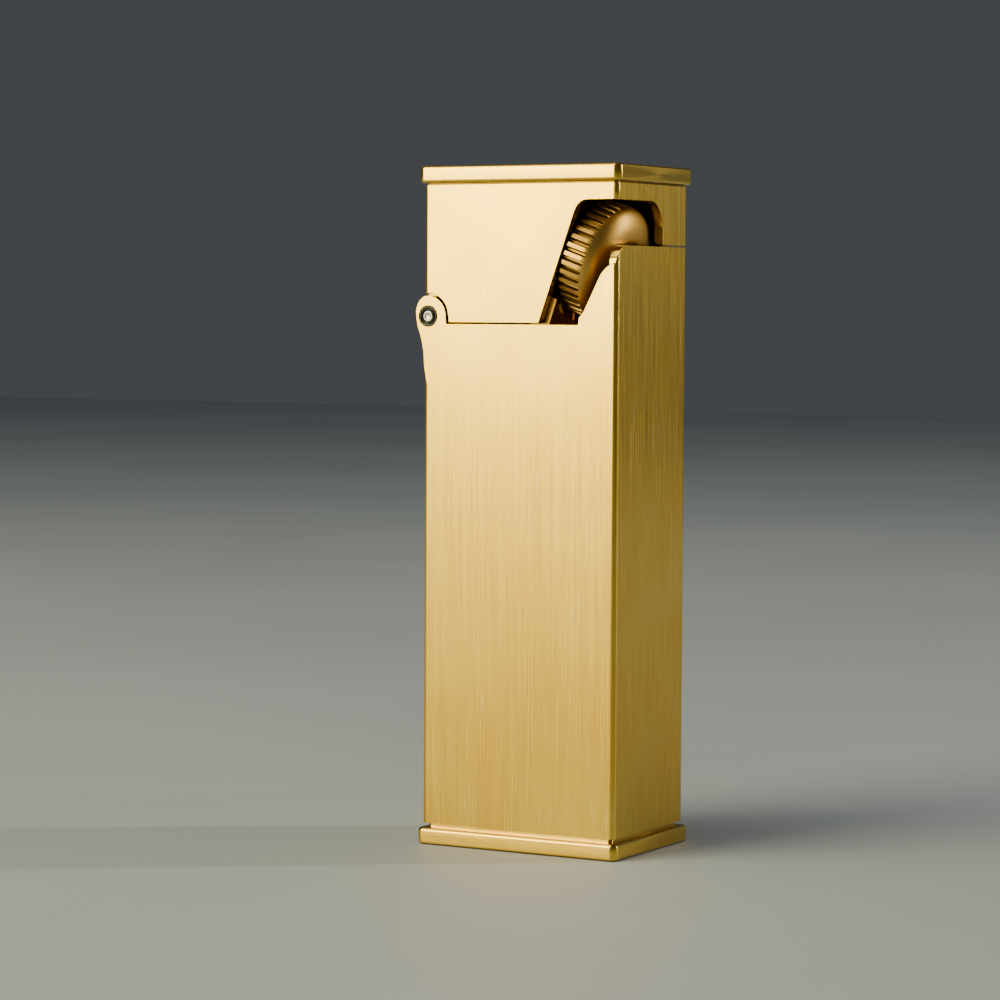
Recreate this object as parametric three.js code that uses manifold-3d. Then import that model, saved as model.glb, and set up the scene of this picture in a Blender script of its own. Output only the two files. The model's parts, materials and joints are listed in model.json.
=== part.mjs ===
// Pocket roller lighter, millimetres, +Z up.
// X runs along the wide front face and the front faces -Y. The origin is the middle of the base's underside.
// The lid hinges at the left and opens over it. A ribbed roller, its axle tilted down to the right, stands
// in the front right corner and turns a small spark wheel inside.
import * as THREE from 'three';
import * as BufferGeometryUtils from 'three/addons/utils/BufferGeometryUtils.js';
import Module from 'manifold-3d';

const wasm = await Module();
wasm.setup();

// ---------- driving dimensions ----------
const HEIGHT = 64;
const CASE_W = 20.5;
const CASE_D = 14.2;
const CASE_CORNER = 0.5;
const WALL = 0.9;

const PLATE_W = 21.3;
const PLATE_D = 15.1;
const PLATE_T = 1.6;
const PLATE_CORNER = 0.6;
const PLATE_EDGE = 0.32;
const BASE_GROOVE = 0.4;
const TOP_GROOVE = 0.15;

const SEAM = 0.15;                       // open line between the lid and the case
const SPLIT_Z = 49.23;                   // top of the case's front wall
const SHOULDER_Z = 56.53;                // top of the case's right wall
const LID_TOP_Z = HEIGHT - PLATE_T - TOP_GROOVE;
const RISE_R = 1.7;                      // round rise of the right wall, behind the front corner
const FRONT_CORNER_Z = 55.0;             // the front wall's top at the right corner
const RISE_CENTRE_Y = -5.32;
const WINDOW_TOP_Z = 60.7;

const PIN_X = -9.78;
const PIN_Z = 49.94;
const EAR_R = 1.92;
const EAR_GAP = 0.25;
const BARREL_R = 1.25;
const PIN_R = 0.53;
const PIN_PROUD = 0.06;                  // how far the pin stands out of each ear
const DISH_R = 0.3;
const DISH = 0.08;
const NOSE_R = 2.0;                      // reach of the barrel's cam nose from the pin

const TILT = THREE.MathUtils.degToRad(19);   // roller axle, down towards the right
const YAW = THREE.MathUtils.degToRad(3);     // roller axle, slightly towards the front
const ROLLER_AT = new THREE.Vector3(4.75, -1.4, 55.6);
const ROLLER_R = 5.56;
// Along the axle: the roller's inner side, the start of its bulge, the end of its slots, its tip.
const ROLLER_INNER = -0.06;
const ROLLER_BULGE = 1.8;
const ROLLER_SLOT_END = 2.1;
const ROLLER_TIP = 3.62;
const ROLLER_TIP_R = 2.7;
const ROLLER_RECESS = 2.4;               // floor of the recess that holds the screw's head
const ROLLER_RECESS_R = 1.8;
const RIBS = 40;
const RIB_DEPTH = 0.42;
const RIB_LAND = 0.6;                    // share of the pitch that is rib
const POCKET_R = 6.3;
const POCKET_FACE = 0.3;                 // along the axle: slanted face of the carrier, pocket floor, back
const POCKET_FLOOR = -1.1;
const BRACKET_BACK = -1.5;
const SPARK_R = 3.0;
const SPARK_FROM = -3.9;
const SPARK_TO = -1.9;
const AXLE_R = 0.8;
const AXLE_FIT = 0.06;                   // clearance between the axle and the wheels on it
const SPARK_TEETH = 44;
const SPARK_TOOTH = 0.22;

const FLINT_X = 1.0;
const FLINT_Y = -1.35;
const BURNER_X = -3.9;
const BURNER_Y = 0.9;
const FILLER_X = 5.8;
const FILLER_Y = 0;
const LEVER_X = -6.6;
const LEVER_Z = 50.4;
const LEVER_HALF = 1.45;
const LEVER_PIN_R = 0.4;
const CARRIER_SCREWS = [[-4.9, -3.9], [-0.6, 4.2]];

const TANK_BOTTOM_Z = 4.4;
const TANK_TOP_Z = 43;
const TANK_WALL = 0.7;
const TANK_W = 17.6;
const TANK_D = 11.8;
const FLINT_BORE_R = 1.8;
const BURNER_BORE_R = 1.75;
const FILLER_BORE_R = 2.1;
const DECK_Z = 48.9;
const INNER_GAP = 0.12;                  // between the walls and what stands inside them

const inX = CASE_W / 2 - WALL;
const inY = CASE_D / 2 - WALL;

// ---------- helpers: shapes become solids, solids become geometries ----------
function solid(geometry) {
  const bare = geometry.clone();
  for (const name of Object.keys(bare.attributes)) {
    if (name !== 'position') bare.deleteAttribute(name);
  }
  const merged = BufferGeometryUtils.mergeVertices(bare, 1e-4);
  const index = merged.index.array;
  const triangles = [];
  for (let i = 0; i < index.length; i += 3) {
    const [a, b, c] = [index[i], index[i + 1], index[i + 2]];
    if (a !== b && b !== c && c !== a) triangles.push(a, b, c);
  }
  const body = new wasm.Manifold(new wasm.Mesh({
    numProp: 3,
    vertProperties: new Float32Array(merged.attributes.position.array),
    triVerts: new Uint32Array(triangles),
  }));
  if (body.volume() > 0) return body;
  const flipped = [];
  for (let i = 0; i < triangles.length; i += 3) {
    flipped.push(triangles[i], triangles[i + 2], triangles[i + 1]);
  }
  return new wasm.Manifold(new wasm.Mesh({
    numProp: 3,
    vertProperties: new Float32Array(merged.attributes.position.array),
    triVerts: new Uint32Array(flipped),
  }));
}

function geometryOf(body) {
  const mesh = body.getMesh();
  const geometry = new THREE.BufferGeometry();
  geometry.setAttribute('position', new THREE.BufferAttribute(new Float32Array(mesh.vertProperties), 3));
  geometry.setIndex(new THREE.BufferAttribute(new Uint32Array(mesh.triVerts), 1));
  return geometry;
}

function box(x0, x1, y0, y1, z0, z1) {
  return solid(new THREE.BoxGeometry(x1 - x0, y1 - y0, z1 - z0)
    .translate((x0 + x1) / 2, (y0 + y1) / 2, (z0 + z1) / 2));
}

// A prism of a shape drawn in X-Z, from y0 to y1.
function prismXZ(shape, y0, y1, curveSegments = 8) {
  return solid(new THREE.ExtrudeGeometry(shape, { depth: y1 - y0, bevelEnabled: false, curveSegments })
    .rotateX(Math.PI / 2).translate(0, y1, 0));
}

// A prism of a shape drawn in Y-Z, from x0 to x1.
function prismYZ(shape, x0, x1, curveSegments = 8) {
  const turn = new THREE.Matrix4().makeBasis(
    new THREE.Vector3(0, 1, 0), new THREE.Vector3(0, 0, 1), new THREE.Vector3(1, 0, 0));
  return solid(new THREE.ExtrudeGeometry(shape, { depth: x1 - x0, bevelEnabled: false, curveSegments })
    .applyMatrix4(turn).translate(x0, 0, 0));
}

// A prism of a shape drawn in X-Y, from z0 to z1.
function prismXY(shape, z0, z1, curveSegments = 3) {
  return solid(new THREE.ExtrudeGeometry(shape, { depth: z1 - z0, bevelEnabled: false, curveSegments })
    .translate(0, 0, z0));
}

function roundedRect(w, d, r) {
  const shape = new THREE.Shape();
  shape.moveTo(-w / 2 + r, -d / 2);
  shape.lineTo(w / 2 - r, -d / 2);
  shape.absarc(w / 2 - r, -d / 2 + r, r, -Math.PI / 2, 0);
  shape.lineTo(w / 2, d / 2 - r);
  shape.absarc(w / 2 - r, d / 2 - r, r, 0, Math.PI / 2);
  shape.lineTo(-w / 2 + r, d / 2);
  shape.absarc(-w / 2 + r, d / 2 - r, r, Math.PI / 2, Math.PI);
  shape.lineTo(-w / 2, -d / 2 + r);
  shape.absarc(-w / 2 + r, -d / 2 + r, r, Math.PI, Math.PI * 1.5);
  return shape;
}

// An upright rod.
function rod(x, y, r, z0, z1, segments = 24) {
  return solid(new THREE.CylinderGeometry(r, r, z1 - z0, segments)
    .rotateX(Math.PI / 2).translate(x, y, (z0 + z1) / 2));
}

// A rod along Y.
function rodY(x, z, r, y0, y1, segments = 24) {
  return solid(new THREE.CylinderGeometry(r, r, y1 - y0, segments).translate(x, (y0 + y1) / 2, z));
}

// An upright turned piece at x, y. The profile is a closed list of [radius, z].
function turned(x, y, profile, segments = 24) {
  const points = profile.map(([r, z]) => new THREE.Vector2(r, z));
  return solid(new THREE.LatheGeometry(points, segments).rotateX(Math.PI / 2).translate(x, y, 0));
}

// A coil spring, upright at x, y.
class Helix extends THREE.Curve {
  constructor(radius, z0, z1, turns) {
    super();
    Object.assign(this, { radius, z0, z1, turns });
  }

  getPoint(t, target = new THREE.Vector3()) {
    const angle = t * this.turns * 2 * Math.PI;
    const z = this.z0 + t * (this.z1 - this.z0);
    return target.set(this.radius * Math.cos(angle), this.radius * Math.sin(angle), z);
  }
}

function coil(x, y, radius, wire, z0, z1, turns) {
  const section = new THREE.Shape();
  section.absarc(0, 0, wire, 0, Math.PI * 2);
  const path = new Helix(radius, z0 + wire, z1 - wire, turns);
  const steps = Math.round(turns * 7);
  return new THREE.ExtrudeGeometry(section, { steps, curveSegments: 3, extrudePath: path, bevelEnabled: false })
    .translate(x, y, 0);
}

// ---------- the roller's own frame: local +X runs along the axle ----------
const rollerFrame = new THREE.Group();
rollerFrame.position.copy(ROLLER_AT);
rollerFrame.rotation.set(0, TILT, -YAW, 'ZYX');
rollerFrame.updateMatrixWorld(true);

// A turned piece about the axle. The profile is a closed list of [along, radius].
function onAxle(profile, segments = 40) {
  const points = profile.map(([along, r]) => new THREE.Vector2(r, along));
  return solid(new THREE.LatheGeometry(points, segments).rotateZ(-Math.PI / 2));
}

function discOnAxle(r, from, to, segments = 40) {
  return onAxle([[from, 0], [from, r], [to, r], [to, 0]], segments);
}

// The same, moved out of the axle's frame so that it can cut an upright piece.
function cutter(body) {
  return solid(geometryOf(body).applyMatrix4(rollerFrame.matrixWorld));
}

// A disc with ribs along its rim.
function ribbedDisc(r, depth, count, landShare, from, to) {
  const shape = new THREE.Shape();
  const pitch = 2 * Math.PI / count;
  for (let i = 0; i < count; i += 1) {
    const start = i * pitch;
    const land = pitch * landShare;
    const floor = (pitch - land) * 0.25;
    const corners = [[r, 0], [r, land], [r - depth, land + floor], [r - depth, pitch - floor]];
    for (const [radius, turn] of corners) {
      const x = radius * Math.cos(start + turn);
      const y = radius * Math.sin(start + turn);
      if (i === 0 && turn === 0) shape.moveTo(x, y);
      else shape.lineTo(x, y);
    }
  }
  shape.closePath();
  return solid(new THREE.ExtrudeGeometry(shape, { depth: to - from, bevelEnabled: false })
    .rotateY(Math.PI / 2).translate(from, 0, 0));
}

// ---------- outlines ----------
// Everything above the front wall of the case, in X-Z. It runs level, then up the shoulder to the corner.
function aboveFrontWall(lift) {
  const s = new THREE.Shape();
  s.moveTo(-14, SPLIT_Z + lift);
  s.lineTo(6.2 - lift, SPLIT_Z + lift);
  s.lineTo(6.28 - lift, 49.9);
  s.quadraticCurveTo(6.62 - lift, 50.15, 6.85 - lift, 50.6);
  s.lineTo(8.35 - lift, 53.55);
  s.quadraticCurveTo(9.05, FRONT_CORNER_Z - 0.07 + lift, 10.6, FRONT_CORNER_Z + lift);
  s.lineTo(14, FRONT_CORNER_Z + lift);
  s.lineTo(14, 70);
  s.lineTo(-14, 70);
  s.closePath();
  return s;
}

// The back wall has the same shoulder, but its slant goes on up to the right wall's top.
function aboveBackWall(lift) {
  const s = new THREE.Shape();
  s.moveTo(-14, SPLIT_Z + lift);
  s.lineTo(6.2 - lift, SPLIT_Z + lift);
  s.lineTo(6.28 - lift, 49.9);
  s.quadraticCurveTo(6.62 - lift, 50.15, 6.85 - lift, 50.6);
  s.lineTo(9.86 - lift, SHOULDER_Z + lift);
  s.lineTo(14, SHOULDER_Z + lift);
  s.lineTo(14, 70);
  s.lineTo(-14, 70);
  s.closePath();
  return s;
}

// Everything above the right wall, in Y-Z, with the round rise behind the front corner.
const RISE_CENTRE_Z = SHOULDER_Z - RISE_R;
const RISE_START = Math.PI - Math.asin((FRONT_CORNER_Z - RISE_CENTRE_Z) / RISE_R);

function aboveRightWall() {
  const s = new THREE.Shape();
  s.moveTo(-12, FRONT_CORNER_Z);
  s.absarc(RISE_CENTRE_Y, RISE_CENTRE_Z, RISE_R, RISE_START, Math.PI / 2, true);
  s.lineTo(12, SHOULDER_Z);
  s.lineTo(12, 70);
  s.lineTo(-12, 70);
  s.closePath();
  return s;
}

// The hinge ear, in X-Z: round about the pin, its left side sweeping down into the case's corner.
function earShape() {
  const s = new THREE.Shape();
  const wallX = -CASE_W / 2;
  s.moveTo(-8.0, 43);
  s.lineTo(PIN_X + EAR_R + 0.06, SPLIT_Z - 0.3);
  s.lineTo(PIN_X + EAR_R, PIN_Z);
  s.absarc(PIN_X, PIN_Z, EAR_R, 0, Math.PI * 0.58);
  s.quadraticCurveTo(-11.06, 51.3, -11.12, 50.3);
  s.quadraticCurveTo(-11.08, 49.3, -10.72, 48.4);
  s.quadraticCurveTo(wallX - 0.06, 47.2, wallX, 46.0);
  s.quadraticCurveTo(wallX + 0.06, 44.6, wallX + CASE_CORNER, 43);
  s.closePath();
  return s;
}

// The window in the lid's front, in X-Z: a slanted left side and a small round top corner.
function frontWindow() {
  const lowX = 2.02;
  const highX = 5.68;
  const s = new THREE.Shape();
  s.moveTo(lowX - 0.45, 48);
  s.lineTo(highX, 59.45);
  s.quadraticCurveTo(highX + 0.42, WINDOW_TOP_Z, highX + 1.5, WINDOW_TOP_Z);
  s.lineTo(14, WINDOW_TOP_Z);
  s.lineTo(14, 48);
  s.closePath();
  return s;
}

// The window in the lid's right side, in Y-Z, with a large round corner at the back.
function sideWindow() {
  const backY = 2.0;
  const r = 2.5;
  const s = new THREE.Shape();
  s.moveTo(-12, 48);
  s.lineTo(backY, 48);
  s.lineTo(backY, WINDOW_TOP_Z - r);
  s.absarc(backY - r, WINDOW_TOP_Z - r, r, 0, Math.PI / 2);
  s.lineTo(-12, WINDOW_TOP_Z);
  s.closePath();
  return s;
}

// ---------- case ----------
function caseShell() {
  const bottom = PLATE_T + BASE_GROOVE;
  let shell = prismXY(roundedRect(CASE_W, CASE_D, CASE_CORNER), bottom, SHOULDER_Z)
    .subtract(prismXY(roundedRect(2 * inX, 2 * inY, 0.3), bottom - 1, 70, 2));
  const front = aboveFrontWall(0);
  const riseFront = RISE_CENTRE_Y + RISE_R * Math.cos(RISE_START);
  shell = shell.subtract(prismXZ(front, -9, riseFront))
    .subtract(prismXZ(front, riseFront - 0.1, -4).intersect(box(-14, inX, -9, -4, 45, 70)))
    .subtract(prismXZ(aboveBackWall(0), 4, 9))
    .subtract(prismYZ(aboveRightWall(), 8, 12))
    .subtract(box(-12, -8, -inY, inY, 48, 70));
  for (const side of [-1, 1]) {
    const outer = side * CASE_D / 2;
    const inner = side * inY;
    shell = shell.add(prismXZ(earShape(), Math.min(outer, inner), Math.max(outer, inner)))
      .subtract(rodY(PIN_X, PIN_Z, 1.0, Math.min(outer, inner) - 0.5, Math.max(outer, inner) + 0.5));
  }
  return shell;
}

function plate(z0) {
  const corner = PLATE_CORNER - PLATE_EDGE + 0.1;
  const shape = roundedRect(PLATE_W - 2 * PLATE_EDGE, PLATE_D - 2 * PLATE_EDGE, corner);
  const geometry = new THREE.ExtrudeGeometry(shape, {
    depth: PLATE_T - 2 * PLATE_EDGE,
    bevelThickness: PLATE_EDGE,
    bevelSize: PLATE_EDGE,
    bevelSegments: 3,
    curveSegments: 3,
  });
  return solid(geometry.translate(0, 0, z0 + PLATE_EDGE));
}

function basePlate() {
  return plate(0)
    .add(prismXY(roundedRect(CASE_W - 0.9, CASE_D - 0.9, 0.4), PLATE_T - 0.2, PLATE_T + BASE_GROOVE))
    .add(prismXY(roundedRect(2 * inX - 0.2, 2 * inY - 0.2, 0.4), PLATE_T, 4))
    .subtract(rod(FLINT_X, FLINT_Y, 2.25, -1, 1.5))
    .subtract(rod(FLINT_X, FLINT_Y, FLINT_BORE_R, 1, 5))
    .subtract(rod(FILLER_X, FILLER_Y, 2.65, -1, 2.2))
    .subtract(rod(FILLER_X, FILLER_Y, FILLER_BORE_R, 1, 5));
}

// ---------- fuel tank ----------
function tankShell() {
  const hollow = roundedRect(TANK_W - 2 * TANK_WALL, TANK_D - 2 * TANK_WALL, 0.5);
  return prismXY(roundedRect(TANK_W, TANK_D, 1), TANK_BOTTOM_Z + TANK_WALL, TANK_TOP_Z)
    .subtract(prismXY(hollow, 0, TANK_TOP_Z - 1, 2))
    .subtract(rod(BURNER_X, BURNER_Y, BURNER_BORE_R, 40, 45))
    .subtract(rod(FLINT_X, FLINT_Y, FLINT_BORE_R, 40, 45));
}

function tankBottom() {
  return prismXY(roundedRect(TANK_W, TANK_D, 1), TANK_BOTTOM_Z, TANK_BOTTOM_Z + TANK_WALL)
    .subtract(rod(FILLER_X, FILLER_Y, FILLER_BORE_R, 3, 6))
    .subtract(rod(FLINT_X, FLINT_Y, FLINT_BORE_R, 3, 6));
}

const fillerBody = () => turned(FILLER_X, FILLER_Y, [
  [0.75, 0.9], [2.0, 0.9], [2.0, 9.5], [0.6, 9.5], [0.6, 8.7], [1.25, 8.7], [1.25, 1.9], [0.75, 1.9], [0.75, 0.9],
]);

const fillerStem = () => turned(FILLER_X, FILLER_Y, [
  [0, 0.6], [0.55, 0.6], [0.55, 2.1], [1.05, 2.1], [1.05, 2.8], [0.5, 2.8], [0.5, 5], [0, 5],
], 20);

function flameAdjuster() {
  let ring = turned(FILLER_X, FILLER_Y, [[2.12, 0.3], [2.5, 0.3], [2.5, 2.0], [2.12, 2.0], [2.12, 0.3]], 32);
  for (const side of [-1, 1]) {
    const x = FILLER_X + side * 2.3;
    ring = ring.subtract(box(x - 0.4, x + 0.4, -0.35, 0.35, 0, 0.8));
  }
  return ring;
}

const burnerBody = () => turned(BURNER_X, BURNER_Y, [
  [0.5, 36], [1.65, 36], [1.65, 47.6], [0.7, 47.6], [0.7, 46.6], [1.15, 46.6], [1.15, 37], [0.5, 37], [0.5, 36],
]);

const burnerNozzle = () => turned(BURNER_X, BURNER_Y, [
  [0, 39.8], [0.95, 39.8], [0.95, 40.7], [0.55, 40.7], [0.55, 50.95], [1.3, 50.95], [1.3, 51.5], [0.9, 51.7],
  [0.9, 53.1], [0.7, 53.3], [0.25, 53.3], [0.25, 46], [0, 46],
]);

// ---------- flint ----------
const flintTube = () => turned(FLINT_X, FLINT_Y, [
  [1.35, 1.9], [1.65, 1.9], [1.65, 52.2], [1.35, 52.2], [1.35, 1.9],
]);

function flintScrew() {
  return turned(FLINT_X, FLINT_Y, [[0, 0.35], [2.1, 0.35], [2.1, 1.35], [1.25, 1.35], [1.25, 5], [0, 5]])
    .subtract(box(FLINT_X - 3, FLINT_X + 3, FLINT_Y - 0.3, FLINT_Y + 0.3, 0, 0.85));
}

const flintPusher = () => turned(FLINT_X, FLINT_Y, [
  [0, 44], [0.6, 44], [0.6, 46], [1.2, 46], [1.2, 46.8], [0, 46.8],
], 20);

// ---------- wheel carrier ----------
function wheelCarrier() {
  const halfY = inY - INNER_GAP;
  const block = box(-8.3, inX - 0.3, -halfY, halfY, TANK_TOP_Z + 0.3, DECK_Z);
  const bracketSlab = cutter(solid(new THREE.BoxGeometry(POCKET_FACE - BRACKET_BACK, 14, 40)
    .translate((POCKET_FACE + BRACKET_BACK) / 2, 0, 0)));
  const lowPart = box(-9, 9, -halfY, halfY, DECK_Z - 2, 54);
  const headPart = cutter(discOnAxle(4.9, BRACKET_BACK, POCKET_FACE));
  let carrier = bracketSlab.intersect(lowPart).add(headPart).intersect(box(-9, 9, -halfY, halfY, 45, 62))
    .add(block)
    .subtract(cutter(discOnAxle(POCKET_R, POCKET_FLOOR, 14, 56)))
    .subtract(cutter(discOnAxle(SPARK_R + 0.5, SPARK_FROM - 3, SPARK_TO + 0.2)))
    .subtract(cutter(discOnAxle(AXLE_R + 0.35, -8, 8, 24)))
    .subtract(rod(FLINT_X, FLINT_Y, FLINT_BORE_R, 40, 54))
    .subtract(rod(BURNER_X, BURNER_Y, BURNER_BORE_R, 40, 50))
    .subtract(box(-9, -5.95, BURNER_Y - 0.9, BURNER_Y + 0.9, 47.4, 52));
  for (const [x, y] of CARRIER_SCREWS) {
    carrier = carrier.subtract(rod(x, y, 1.3, DECK_Z - 0.9, 50)).subtract(rod(x, y, 0.8, 44.5, 50));
  }
  for (const side of [-1, 1]) {
    const y = BURNER_Y + side * 2.1;
    carrier = carrier.add(box(LEVER_X - 0.9, LEVER_X + 0.9, y - 0.4, y + 0.4, DECK_Z - 0.5, LEVER_Z + 0.9));
  }
  return carrier.subtract(rodY(LEVER_X, LEVER_Z, 0.45, -3, 5, 16));
}

const carrierScrew = (x, y) => turned(x, y, [
  [0, 44.8], [0.7, 44.8], [0.7, DECK_Z - 0.8], [1.2, DECK_Z - 0.8], [1.2, DECK_Z - 0.1], [0, DECK_Z - 0.1],
], 20).subtract(box(x - 2, x + 2, y - 0.2, y + 0.2, DECK_Z - 0.45, 50));

// ---------- valve lever: a bell crank pushed by the nose on the lid's barrel ----------
function valveLever() {
  const reach = BURNER_X + 0.25;
  return box(LEVER_X, reach, BURNER_Y - LEVER_HALF, BURNER_Y + LEVER_HALF, LEVER_Z - 0.4, LEVER_Z + 0.4)
    .add(rodY(LEVER_X, LEVER_Z, 0.85, BURNER_Y - LEVER_HALF, BURNER_Y + LEVER_HALF))
    .add(box(LEVER_X - 0.75, LEVER_X + 0.1, BURNER_Y - 0.6, BURNER_Y + 0.6, 48.0, LEVER_Z))
    .subtract(box(BURNER_X - 0.85, reach + 1, BURNER_Y - 0.75, BURNER_Y + 0.75, 49, 52))
    .subtract(rodY(LEVER_X, LEVER_Z, 0.48, -4, 5, 16));
}

function camSpring() {
  return box(-9.05, -8.75, -4.4, -1.9, 43.6, 48.45).add(box(-10.3, -8.9, -4.4, -1.9, 48.15, 48.45));
}

// ---------- hinge ----------
function hingePin() {
  const end = CASE_D / 2 + PIN_PROUD;
  let pin = rodY(PIN_X, PIN_Z, PIN_R, -end, end, 20);
  for (const side of [-1, 1]) {
    const face = side * end;
    const floor = side * (end - DISH);
    pin = pin.subtract(rodY(PIN_X, PIN_Z, DISH_R, Math.min(face, floor), Math.max(face, floor) + 0.01, 20));
  }
  return pin;
}

function hingeBush(side) {
  const near = side * (inY + 0.05);
  const far = side * (CASE_D / 2 + 0.02);
  return rodY(PIN_X, PIN_Z, 0.96, Math.min(near, far), Math.max(near, far), 28)
    .subtract(rodY(PIN_X, PIN_Z, 0.57, -9, 9, 20));
}

// ---------- lid ----------
function lidShell() {
  const low = SPLIT_Z + SEAM;
  const r = EAR_R + EAR_GAP;
  const easeZ = SHOULDER_Z + SEAM;
  const ease = new THREE.Shape([
    new THREE.Vector2(inX - 1, easeZ - 1), new THREE.Vector2(inX + 0.3, easeZ - 1),
    new THREE.Vector2(inX + 0.3, easeZ), new THREE.Vector2(inX, easeZ + 0.3),
    new THREE.Vector2(inX - 1, easeZ + 0.3),
  ]);
  const innerChamfer = prismXZ(ease, -inY, inY);
  let shell = prismXY(roundedRect(CASE_W, CASE_D, CASE_CORNER), low, LID_TOP_Z)
    .subtract(prismXY(roundedRect(2 * inX, 2 * inY, 0.3), 40, LID_TOP_Z - WALL, 2))
    .subtract(prismXZ(frontWindow(), -9, -5.4))
    .subtract(prismYZ(sideWindow(), 8, 12))
    .subtract(box(8, 12, -9, 9, 40, SHOULDER_Z + SEAM))
    .subtract(innerChamfer);
  const underBack = prismXZ(aboveBackWall(SEAM), 4, 9);
  shell = shell.subtract(box(-14, 14, 4, 9, 40, 61).subtract(underBack))
    .subtract(rodY(PIN_X, PIN_Z, r, -9, -inY, 40))
    .subtract(rodY(PIN_X, PIN_Z, r, inY, 9, 40))
    .subtract(box(-12, PIN_X, -9, -inY, 40, PIN_Z + 2))
    .subtract(box(-12, PIN_X, inY, 9, 40, PIN_Z + 2))
    .subtract(box(PIN_X, PIN_X + r + 0.05, -9, -inY, 40, PIN_Z))
    .subtract(box(PIN_X, PIN_X + r + 0.05, inY, 9, 40, PIN_Z))
    .subtract(box(-12, -8, -inY, inY, 40, PIN_Z));
  const half = inY - INNER_GAP;
  const nose = new THREE.Shape();
  nose.moveTo(PIN_X + 0.4, PIN_Z);
  nose.lineTo(PIN_X + NOSE_R * Math.cos(-1.02), PIN_Z + NOSE_R * Math.sin(-1.02));
  nose.lineTo(PIN_X + NOSE_R * Math.cos(-0.68), PIN_Z + NOSE_R * Math.sin(-0.68));
  nose.closePath();
  return shell.add(rodY(PIN_X, PIN_Z, BARREL_R, -half, half, 28))
    .add(prismXZ(nose, BURNER_Y - 0.6, BURNER_Y + 0.6))
    .subtract(rodY(PIN_X, PIN_Z, 0.62, -9, 9, 20));
}

function lidTopPlate() {
  return plate(HEIGHT - PLATE_T)
    .add(prismXY(roundedRect(CASE_W - 0.5, CASE_D - 0.5, 0.3), LID_TOP_Z, HEIGHT - PLATE_T + 0.2));
}

const snufferHousing = () => turned(BURNER_X, BURNER_Y, [
  [0, 60.8], [1.35, 60.8], [1.35, 56.6], [1.75, 56.6], [1.75, LID_TOP_Z - WALL], [0, LID_TOP_Z - WALL],
]);

const snufferCap = () => turned(BURNER_X, BURNER_Y, [
  [0, 54.6], [1.2, 54.6], [1.2, 53.55], [1.7, 53.55], [1.7, 55.6], [1.15, 55.9], [1.15, 57.6], [0, 57.6],
]);

const snufferSeal = () => turned(BURNER_X, BURNER_Y, [[0, 53.7], [1.05, 53.7], [1.05, 54.5], [0, 54.5]]);

// ---------- roller and what turns with it ----------
// A rim with slots cut in from the inner side. Beyond it a smooth bulge, a quarter of an oval, dips to the
// recess round the screw.
function rollerWheel() {
  const profile = [[ROLLER_INNER, 0], [ROLLER_INNER, ROLLER_R - 0.2], [ROLLER_INNER + 0.15, ROLLER_R]];
  const steps = 10;
  for (let i = 0; i <= steps; i += 1) {
    const angle = i / steps * Math.PI / 2;
    const along = ROLLER_BULGE + (ROLLER_TIP - ROLLER_BULGE) * Math.sin(angle);
    profile.push([along, ROLLER_TIP_R + (ROLLER_R - ROLLER_TIP_R) * Math.cos(angle)]);
  }
  profile.push([ROLLER_TIP - 0.15, ROLLER_RECESS_R + 0.25], [ROLLER_TIP - 0.6, ROLLER_RECESS_R]);
  profile.push([ROLLER_RECESS, ROLLER_RECESS_R], [ROLLER_RECESS, 0]);
  const spare = 0.3;
  const slotted = ribbedDisc(ROLLER_R + spare, RIB_DEPTH + spare, RIBS, RIB_LAND, -1, ROLLER_SLOT_END)
    .add(discOnAxle(ROLLER_R + spare, ROLLER_SLOT_END - 0.02, ROLLER_TIP + 1));
  return onAxle(profile, 2 * RIBS).intersect(slotted).subtract(discOnAxle(AXLE_R + AXLE_FIT, -3, 5, 24));
}

function sparkWheel() {
  return ribbedDisc(SPARK_R, SPARK_TOOTH, SPARK_TEETH, 0.4, SPARK_FROM, SPARK_TO)
    .subtract(discOnAxle(AXLE_R + AXLE_FIT, SPARK_FROM - 1, SPARK_TO + 1, 24));
}

// The axle has a flange outside the spark wheel and a threaded hole for the screw that holds the roller.
const rollerAxle = () => onAxle([
  [SPARK_FROM - 0.6, 0], [SPARK_FROM - 0.6, 1.4], [SPARK_FROM - 0.05, 1.4], [SPARK_FROM - 0.05, AXLE_R],
  [ROLLER_RECESS - 0.05, AXLE_R], [ROLLER_RECESS - 0.05, 0.45], [0.3, 0.45], [0.3, 0],
], 24);

const axleScrew = () => onAxle([
  [0.5, 0], [0.5, 0.38], [ROLLER_RECESS + 0.06, 0.38], [ROLLER_RECESS + 0.06, 1.45],
  [ROLLER_RECESS + 0.6, 1.45], [ROLLER_RECESS + 0.7, 1.3], [ROLLER_RECESS + 0.7, 0],
], 24).subtract(box(ROLLER_RECESS + 0.4, 4, -0.2, 0.2, -2, 2));

const axleBush = () => onAxle([
  [BRACKET_BACK + 0.02, AXLE_R + 0.07], [BRACKET_BACK + 0.02, AXLE_R + 0.3],
  [POCKET_FLOOR - 0.02, AXLE_R + 0.3], [POCKET_FLOOR - 0.02, AXLE_R + 0.07],
  [BRACKET_BACK + 0.02, AXLE_R + 0.07],
], 24);

// The flint's top is worn hollow by the spark wheel.
const flint = () => rod(FLINT_X, FLINT_Y, 1.15, 46.86, 54, 20)
  .subtract(cutter(discOnAxle(SPARK_R + 0.1, SPARK_FROM - 3, 1)));

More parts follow.
